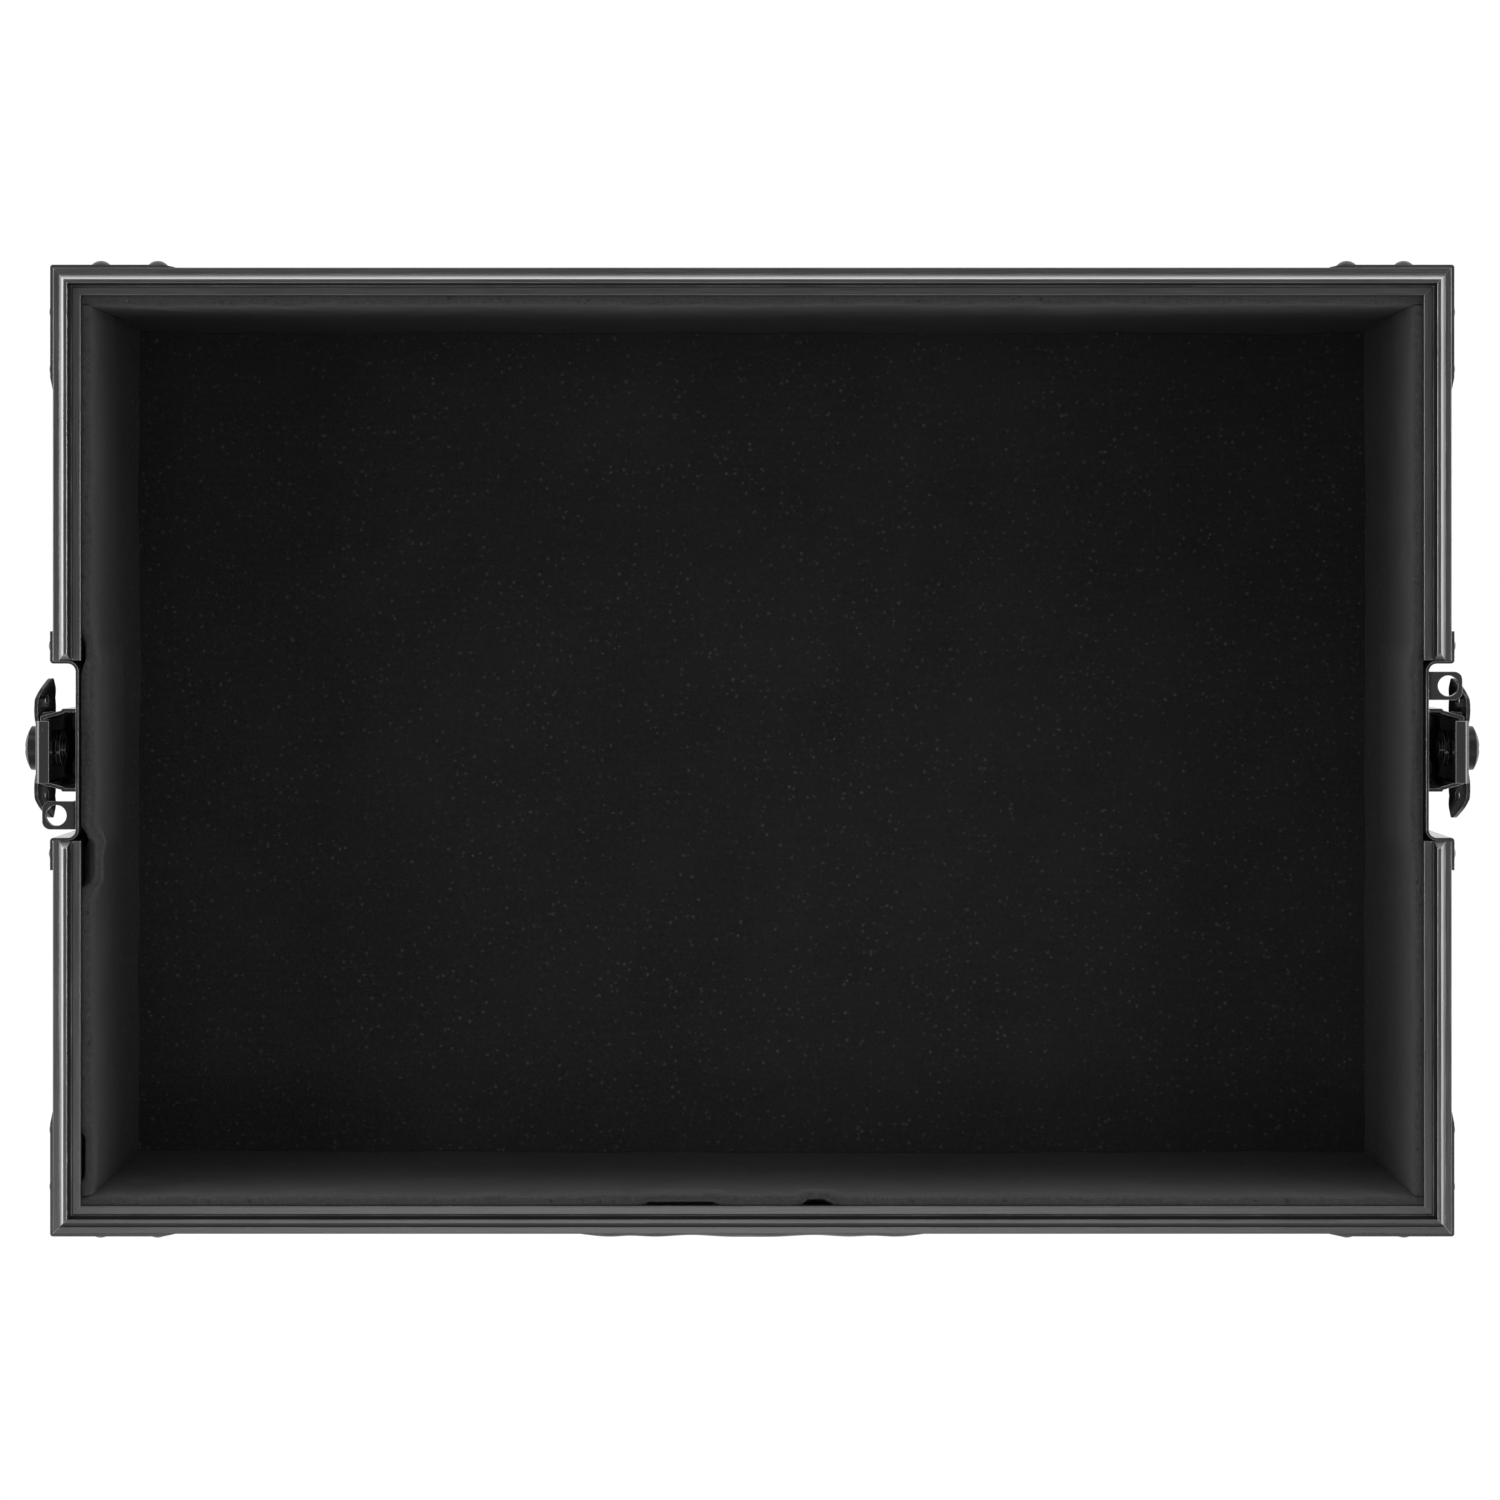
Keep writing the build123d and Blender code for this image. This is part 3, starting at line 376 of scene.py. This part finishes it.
def felt(name, on_wall):
    # Needled black felt: short fibres lying two ways, faint pressed rows, dark pits, dust and a few
    # pale specks of lint. On a wall it is painted paler towards the rim and darker towards its foot,
    # as painted light and shade, and its sheen rises with it.
    fibre_size = 0.45 * MM
    fibre_scales = ((0.25, 1.0, 0.6), (1.0, 0.25, 0.6))
    fibre_on = (0.45, 0.72)
    clump_size = 2.2 * MM
    clump_where = (0.3, 0.7)
    clump_low = 0.25
    row_size = 2.2 * MM
    row_share = 0.06
    row_where = (0.35, 0.65)
    row_low = 0.75
    blot_size = 60 * MM
    blot_where = (0.35, 0.7)
    blot_amount = 0.35
    gap_tone = 0.0018
    tuft_tone = 0.0150
    blot_tone = 0.011
    cell_on = (0.30, 0.12)
    pile_depth = 0.45 * MM
    clump_height = 0.6
    made = Nodes(name)
    fibres_x, fibres_y = [made.noise(fibre_size, 3, 0.65, scale) for scale in fibre_scales]
    fibres = made.math("MAXIMUM", fibres_x, fibres_y)
    clumps = made.noise(clump_size, 5, 0.7)
    blots = made.noise(blot_size, 4, 0.6)
    rows = made.noise(row_size, 2, 0.5, drawn_out("x", row_share))
    full = made.between(fibres, *fibre_on)
    tuft = made.times(full, made.between(clumps, *clump_where, clump_low, 1.0))
    tuft = made.times(tuft, made.between(rows, *row_where, row_low, 1.0))
    black = made.blend(tuft, grey(gap_tone), grey(tuft_tone))
    black = made.blend(made.between(blots, *blot_where, 0.0, blot_amount), black, grey(blot_tone))
    sheen = 0.12
    if on_wall:
        # Painted light and shade on a wall: paler and with more sheen towards the rim, darker to the
        # foot.
        painted_light_power = 2.7
        painted_light_by_tuft = (0.35, 0.9)
        painted_light_tone = 0.056
        painted_sheen_by_height = (0.02, 0.30)
        rise = made.between(made.upward(made.coordinates), floor_high, foam_top)
        painted_light_by_height = made.math("POWER", rise, painted_light_power)
        tufted = made.between(tuft, 0.0, 1.0, *painted_light_by_tuft)
        black = made.blend(made.times(painted_light_by_height, tufted), black, grey(painted_light_tone))
        sheen = made.between(painted_light_by_height, 0.0, 1.0, *painted_sheen_by_height)
    # Pits and then dust, as cell size, where the clumps let them show, amount and tone
    for size, where, amount, tone in (
        (4.4 * MM, (0.45, 0.55), 0.7, 0.001),
        (3.6 * MM, (0.47, 0.57), 0.8, 0.036),
    ):
        spots = made.between(made.cells(size), *cell_on)
        spots = made.times(spots, made.between(clumps, *where))
        black = made.blend(made.times(spots, amount), black, grey(tone))
    lint_size = 13 * MM
    lint_on = (0.055, 0.02)
    lint_where = (0.48, 0.58)
    lint_amount = 0.8
    lint_tone = 0.07
    lint = made.times(
        made.between(made.cells(lint_size), *lint_on), made.between(fibres, *lint_where),
    )
    colour = made.blend(made.times(lint, lint_amount), black, grey(lint_tone))
    height = made.math("ADD", tuft, made.times(clumps, clump_height))
    normal = made.bump(height, pile_depth, 0.9)
    return made.surface(
        Base_Color=colour, Roughness=0.95, Specular_IOR_Level=0.2,
        Sheen_Weight=sheen, Sheen_Roughness=0.45, Sheen_Tint=grey(0.5), Normal=normal,
    )


def white_floor():
    # Pale floor that the camera and gloss see as white, and that still takes the object's shadow.
    matt_tone = 0.86
    glow_strength = 1.04
    glow_share = 0.94
    made = Nodes("floor_white")
    rays = made.add("ShaderNodeLightPath")
    seen = made.math("MAXIMUM", rays.outputs["Is Camera Ray"], rays.outputs["Is Glossy Ray"])
    seen = made.math("MAXIMUM", seen, rays.outputs["Is Transmission Ray"])
    matt = made.add("ShaderNodeBsdfDiffuse")
    matt.inputs["Color"].default_value = (matt_tone, matt_tone, matt_tone, 1.0)
    glow = made.add("ShaderNodeEmission")
    glow.inputs["Color"].default_value = (1.0, 1.0, 1.0, 1.0)
    glow.inputs["Strength"].default_value = glow_strength
    mix = made.add("ShaderNodeMixShader")
    made.put(mix.inputs[0], made.times(seen, glow_share))
    made.put(mix.inputs[1], matt.outputs[0])
    made.put(mix.inputs[2], glow.outputs[0])
    made.put(made.output.inputs["Surface"], mix.outputs[0])
    return made.material


finishes = {
    "alloy_x": anodised("anodised_along_x", "x"),
    "alloy_y": anodised("anodised_along_y", "y"),
    "alloy_z": anodised("anodised_upright", "z"),
    # A rim's flank tone is a painted highlight on its tongue, set per side: lightest on the left and
    # painted dark on the front.
    "rim_left": anodised("rim_alloy_left", "y", flank_highlight_tone=0.95),
    "rim_right": anodised("rim_alloy_right", "y", flank_highlight_tone=0.70),
    "rim_back": anodised("rim_alloy_back", "x", flank_highlight_tone=0.72),
    "rim_front": anodised("rim_alloy_front", "x", flank_highlight_tone=0.02),
    "pressed": coated_steel("pressed_steel_black", 0.022, (0.22, 0.34), 0.05 * MM),
    # The latch's edges are painted near white over more of their length: a painted highlight.
    "latch": coated_steel(
        "latch_steel_black_painted_edge_highlight", 0.014, (0.10, 0.18), 0.02 * MM, edge_wear_and_highlight_tone=0.9, edge_wear_and_highlight_threshold=0.28,
    ),
    "cap": coated_steel("cap_steel_black", 0.010, (0.24, 0.36), 0.02 * MM, edge_wear_and_highlight_tone=0.4, gloss=0.3),
    "rivet": coated_steel("rivet_black", 0.030, (0.25, 0.40), 0.03 * MM),
    "laminate": laminate(),
    "rubber": rubber(),
    "grip": grip_plastic(),
    "zinc": zinc(),
    "felt": felt("felt_floor", False),
    "wall_felt_painted_light": felt("felt_wall_painted_light", True),
}


# Finishes of the carried-over pieces. The first rule with a word in the name holds.
def finish_of(name):
    rules = [
        (("rivets",), "rivet"),
        (("panel",), "laminate"),
        (("feet",), "rubber"),
        (("screws",), "zinc"),
        (("grip",), "grip"),
        (("corner_angle",), "alloy_z"),
        (("rim_brace", "ball_corner", "bracket", "bail"), "pressed"),
        (("rim_left",), "rim_left"),
        (("rim_right",), "rim_right"),
        (("rim_back",), "rim_back"),
        (("rim_front",), "rim_front"),
        (("bottom_angle_front", "bottom_angle_back"), "alloy_x"),
        (("bottom_angle",), "alloy_y"),
        (("cap",), "cap"),
        (("dish", "housing", "tab", "claw", "spindle", "butterfly"), "latch"),
        (("floor_foam",), "felt"),
        (("foam",), "wall_felt_painted_light"),
    ]
    for words, finish in rules:
        if any(word in name for word in words):
            return finishes[finish]
    raise ValueError(f"no finish for {name}")


for name, node in nodes.items():
    material = finish_of(name)
    if not node.material_slots:
        node.data.materials.append(material)
    for place in node.material_slots:
        place.material = material


# Lining
def wave(x, y, size, seed):
    return noise.noise(Vector((x / size + seed, y / size, 0.0)))


def smooth(low, high, value):
    t = min(max((value - low) / (high - low), 0.0), 1.0)
    return t * t * (3 - 2 * t)


def window(value, half, soft):
    return 1.0 - smooth(half - soft, half + soft, abs(value))


def steps(low, high, pitch):
    count = max(2, round((high - low) / pitch))
    return [low + (high - low) * i / count for i in range(count + 1)]


def mesh_object(name, points, faces, finish):
    mesh = bpy.data.meshes.new(name)
    mesh.from_pydata(points, [], faces)
    mesh.validate()
    tidy = bmesh.new()
    tidy.from_mesh(mesh)
    bmesh.ops.recalc_face_normals(tidy, faces=tidy.faces)
    tidy.to_mesh(mesh)
    tidy.free()
    for face in mesh.polygons:
        face.use_smooth = True
    made = bpy.data.objects.new(name, mesh)
    bpy.context.scene.collection.objects.link(made)
    made.data.materials.append(finishes[finish])
    return made


def lining(piece, node):
    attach(piece, shell)
    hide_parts(node)


pad_grid = 3.5 * MM
pad_back_grid = 8 * MM
pad_round = 3.2 * MM
pad_turns = 5
pad_back_in = 0.6 * MM
pad_back_turns = 2
pad_back_rise = 0.4 * pad_round
pad_slack = 0.4 * MM

# Waves of a wall sheet, as height, length and the noise's shift
face_ripple = (0.5 * MM, 22 * MM, 0)
face_swell = (0.9 * MM, 90 * MM, 7)
top_ripple = (0.7 * MM, 14 * MM, 3)
foot_ripple = (0.7 * MM, 38 * MM, 11)
foot_mean = 0.5
sag_ripple = (0.5 * MM, 30 * MM, 5)

# Where along a sheet's height, from 0 to 1, each change begins and ends
top_zone = (0.75, 1.0)
foot_zone = (0.0, 0.10)
foot_out_zone = (0.0, 0.45)
peel_zone = (0.84, 0.97)
sag_zone = (0.9, 1.0)

# How far each sheet's foot stands into the case
foot_out = {"back": 3.4 * MM, "front": 0.6 * MM, "left": 0.8 * MM, "right": 0.8 * MM}

# The latch pan behind an end sheet pushes it in.
pan_half = 39.5 * MM
pan_margin = 4 * MM
pan_soft = 3.5 * MM
pan_drop = 60 * MM
pan_fade = (9 * MM, 2 * MM)
pan_recess = 3.05 * MM
pan_bulge = 1.6 * MM

# The rim's lip covers a sheet's back edge, and beyond it the top is lower.
lip_reach = 3.8 * MM
lip_soft = 1.0 * MM
top_rise = 1.9 * MM
top_drop = 0.3 * MM

# Places where a sheet's top has come away from its wall, as middle, half length and opening
peels = {
    "left": [
        (-48 * MM, 12 * MM, 5.4 * MM),
        (43.5 * MM, 8 * MM, 1.6 * MM),
        (-178 * MM, 12 * MM, 1.4 * MM),
    ],
    "front": [(-31 * MM, 18 * MM, 1.1 * MM), (28.5 * MM, 7.5 * MM, 2.4 * MM)],
}
peel_soft = 4 * MM
peel_push = 0.8


def pad_profile(thickness, low, high):
    # A sheet's outline across, as depth from its back and height: up the back, over the rounded
    # top and down the face.
    crown_r = min(pad_round, thickness / 2)
    up = [(0.0, z) for z in steps(low, high - pad_back_rise, pad_back_grid)]
    for i in range(1, pad_back_turns + 1):
        share = i / pad_back_turns
        up.append((pad_back_in * share, high - pad_back_rise * (1 - share)))
    over = []
    for i in range(pad_turns + 1):
        angle = math.pi / 2 * (1 - i / pad_turns)
        across = thickness - crown_r + crown_r * math.cos(angle)
        over.append((across, high - crown_r + crown_r * math.sin(angle)))
    down = [(thickness, z) for z in reversed(steps(low, high - crown_r, pad_grid))][1:]
    return up + over + down


def ripple(form, seed, along, up=0.0):
    height, length, shift = form
    return height * wave(along, up, length, seed + shift)


def face_move(side, seed, s, z, height):
    """How far a sheet's face stands in from flat, at s along it and z up."""
    foot_height, foot_length, foot_shift = foot_ripple
    move = ripple(face_ripple, seed, s, z) + ripple(face_swell, seed, s, z)
    move += smooth(*top_zone, height) * ripple(top_ripple, seed, s)
    foot = (1 - smooth(*foot_zone, height)) * foot_height
    move += foot * (foot_mean + wave(s, 0.0, foot_length, seed + foot_shift))
    return move + foot_out[side] * (1 - smooth(*foot_out_zone, height))


def wall_pad(side, seed):
    """A felt-faced sheet against one wall, with its face a little uneven and its foot wavy."""
    node = f"{side}_foam"
    (x0, y0, z0), (x1, y1, z1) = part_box(node)
    along_x = side in ("front", "back")
    start, end = (x0, x1) if along_x else (y0, y1)
    outer = {"front": y0, "back": y1, "left": x0, "right": x1}[side]
    inward = 1 if side in ("front", "left") else -1
    thickness = (y1 - y0) if along_x else (x1 - x0)
    middle = 0.0 if along_x else middle_y
    profile = pad_profile(thickness, z0, z1)
    stations = steps(start, end, pad_grid)
    pan_foot, pan_top = [z1 - pan_drop - below for below in pan_fade]
    points = []
    for s in stations:
        for depth, z in profile:
            height = (z - z0) / (z1 - z0)
            move = face_move(side, seed, s, z, height)
            low = 0.0
            if not along_x:
                pan = window(s - middle, pan_half + pan_margin, pan_soft)
                pan *= smooth(pan_foot, pan_top, z)
                move += pan_bulge * pan
                low = pan_recess * pan
            for at, half, opening in peels.get(side, []):
                peel = window(s - middle - at, half, peel_soft) * smooth(*peel_zone, height)
                low = max(low, peel * (lip_reach + opening))
                move += peel_push * opening * peel
            high = thickness + move - pad_slack
            across = outer + inward * (low + (high - low) * depth / thickness)
            near_top = smooth(*sag_zone, height)
            sag = near_top * ripple(sag_ripple, seed, s)
            sag += top_rise * smooth(lip_reach, lip_reach + lip_soft, depth) * near_top
            level = z + sag - top_drop * near_top
            points.append((s, across, level) if along_x else (across, s, level))
    row = len(profile)
    last = (len(stations) - 1) * row
    faces = []
    for i in range(0, last, row):
        for j in range(row):
            k = (j + 1) % row
            faces.append((i + j, i + k, i + row + k, i + row + j))
    faces.append(tuple(range(row)))
    faces.append(tuple(range(last, last + row)))
    piece = mesh_object(f"{side}_lining_pad", points, faces, "wall_felt_painted_light")
    lining(piece, node)


floor_grid = 4 * MM
floor_under = 9 * MM
floor_under_flat = 0.9
floor_sunk = 0.35 * MM
floor_lift = 0.1 * MM
floor_clear = 0.05 * MM
floor_swell = (0.35 * MM, 45 * MM, 3.1)
floor_ripple = (0.15 * MM, 11 * MM, 8.4)


def floor_pad():
    """The sheet on the floor, pressed flat under the wall sheets and a little uneven between."""
    (x0, y0, z0), (x1, y1, z1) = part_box("floor_foam")
    xs = steps(x0, x1, floor_grid)
    ys = steps(y0, y1, floor_grid)
    flat = floor_under * floor_under_flat
    points = []
    for x in xs:
        for y in ys:
            inside = smooth(0.0, floor_under, min(x - x0, x1 - x, y - y0, y1 - y) - flat)
            rise = ripple(floor_swell, 0, x, y) + ripple(floor_ripple, 0, x, y)
            points.append((x, y, z1 - floor_sunk + inside * (rise + floor_lift)))
    count = len(points)
    points += [(x, y, z0 + floor_clear) for x in xs for y in ys]
    row = len(ys)
    last = (len(xs) - 1) * row
    faces = []
    for i in range(0, last, row):
        for a in range(i, i + row - 1):
            b = count + a
            faces.append((a, a + row, a + row + 1, a + 1))
            faces.append((b, b + 1, b + row + 1, b + row))
    border = list(range(0, last + row, row))
    border += range(last + 1, last + row)
    border += range(last - 1, 0, -row)
    border += range(row - 2, 0, -1)
    for a, b in zip(border, border[1:] + border[:1]):
        faces.append((a, b, count + b, count + a))
    piece = mesh_object("floor_lining_pad", points, faces, "felt")
    lining(piece, "floor_foam")


# Each wall's noise begins in a place of its own.
seed_pitch = 10.3
seed_start = 1.7
for count, side in enumerate(("front", "back", "left", "right")):
    wall_pad(side, seed_pitch * count + seed_start)
floor_pad()


# Floor
def stage_floor():
    reach = 6.0
    corners = [(-reach, -reach, 0), (reach, -reach, 0), (reach, reach, 0), (-reach, reach, 0)]
    mesh = bpy.data.meshes.new("studio_floor")
    mesh.from_pydata(corners, [], [(0, 1, 2, 3)])
    floor = bpy.data.objects.new("studio_floor", mesh)
    bpy.context.scene.collection.objects.link(floor)
    mesh.materials.append(white_floor())


stage_floor()


# Light
def softbox(name, place, target, width, height, power):
    lamp = bpy.data.lights.new(name, "AREA")
    lamp.shape = "RECTANGLE"
    lamp.size = width
    lamp.size_y = height
    lamp.energy = power
    made = bpy.data.objects.new(name, lamp)
    made.location = place
    direction = Vector(target) - Vector(place)
    made.rotation_euler = direction.to_track_quat("-Z", "Y").to_euler()
    bpy.context.scene.collection.objects.link(made)


# Softboxes, as place, width, height and power in watts
aim = (0.0, middle_y, 0.1)
softboxes = {
    "left_softbox": ((-1.9, 0.1, 1.1), 1.0, 1.4, 31),
    "right_softbox": ((1.9, 0.1, 1.1), 1.0, 1.4, 28),
    "back_softbox": ((0.0, 2.0, 1.3), 1.6, 0.9, 16),
    "front_softbox": ((-0.04, -0.75, 1.75), 1.2, 0.35, 6.2),
}
for name, (place, width, height, power) in softboxes.items():
    softbox(name, place, aim, width, height, power)

sky_tone = 0.9
sky_strength = 0.45
world = bpy.data.worlds.new("studio")
world.use_nodes = True
bpy.context.scene.world = world
backdrop = world.node_tree.nodes["Background"]
backdrop.inputs["Color"].default_value = (sky_tone, sky_tone, sky_tone, 1.0)
backdrop.inputs["Strength"].default_value = sky_strength


# Camera, straight above the case and a little behind its middle
view_height = 1.350
view_offset = 67.4 * MM
picture_width = 0.6549
sensor = 36.0
shift_x = -0.0015
shift_y = 0.0005
view_reach = 20.0

camera_data = bpy.data.cameras.new("camera")
camera_data.sensor_width = sensor
camera_data.lens = sensor * view_height / picture_width
camera_data.shift_x = shift_x
camera_data.shift_y = -view_offset / picture_width + shift_y
camera_data.clip_end = view_reach
camera = bpy.data.objects.new("camera", camera_data)
camera.location = (0.0, middle_y + view_offset, rim_z + view_height)
bpy.context.scene.collection.objects.link(camera)
bpy.context.scene.camera = camera
bpy.context.scene.view_settings.view_transform = "Standard"
